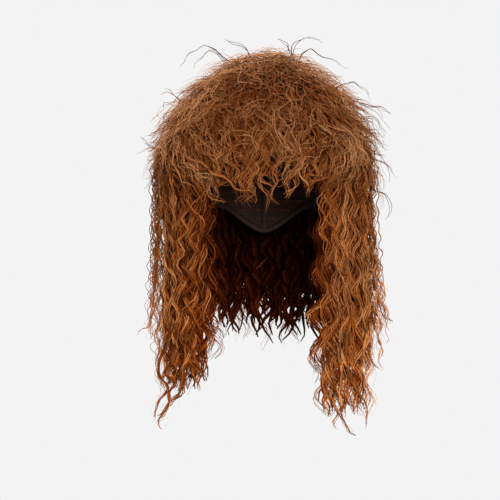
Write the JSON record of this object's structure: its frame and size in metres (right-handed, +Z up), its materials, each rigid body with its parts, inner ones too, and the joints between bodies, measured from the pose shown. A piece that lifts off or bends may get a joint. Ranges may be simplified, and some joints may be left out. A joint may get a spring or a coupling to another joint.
{
  "type": "cosplay wig",
  "caption": "Shaggy long crimped wig with a teased crown, a wavy fringe, front side tresses and back hair on a hollow stretch cap that fits over a head.",
  "frame": {"origin": "middle of the head that wears the wig, at brow level, where the cap grips the head", "axes": "+Z up through the crown, -Y out of the face, +X to the right of a front view"},
  "size_m": [0.2966, 0.2896, 0.464],
  "materials": {
    "hair": "crimped auburn brown fibre with a soft sheen",
    "cap_net": "dark brown stretch net with sewn rows of fibre"
  },
  "bodies": {
    "root": {"cap": "cap_net", "crown_hair": "hair", "fringe": "hair", "side_hair_right": "hair", "side_hair_left": "hair", "back_hair": "hair"}
  },
  "joints": []
}
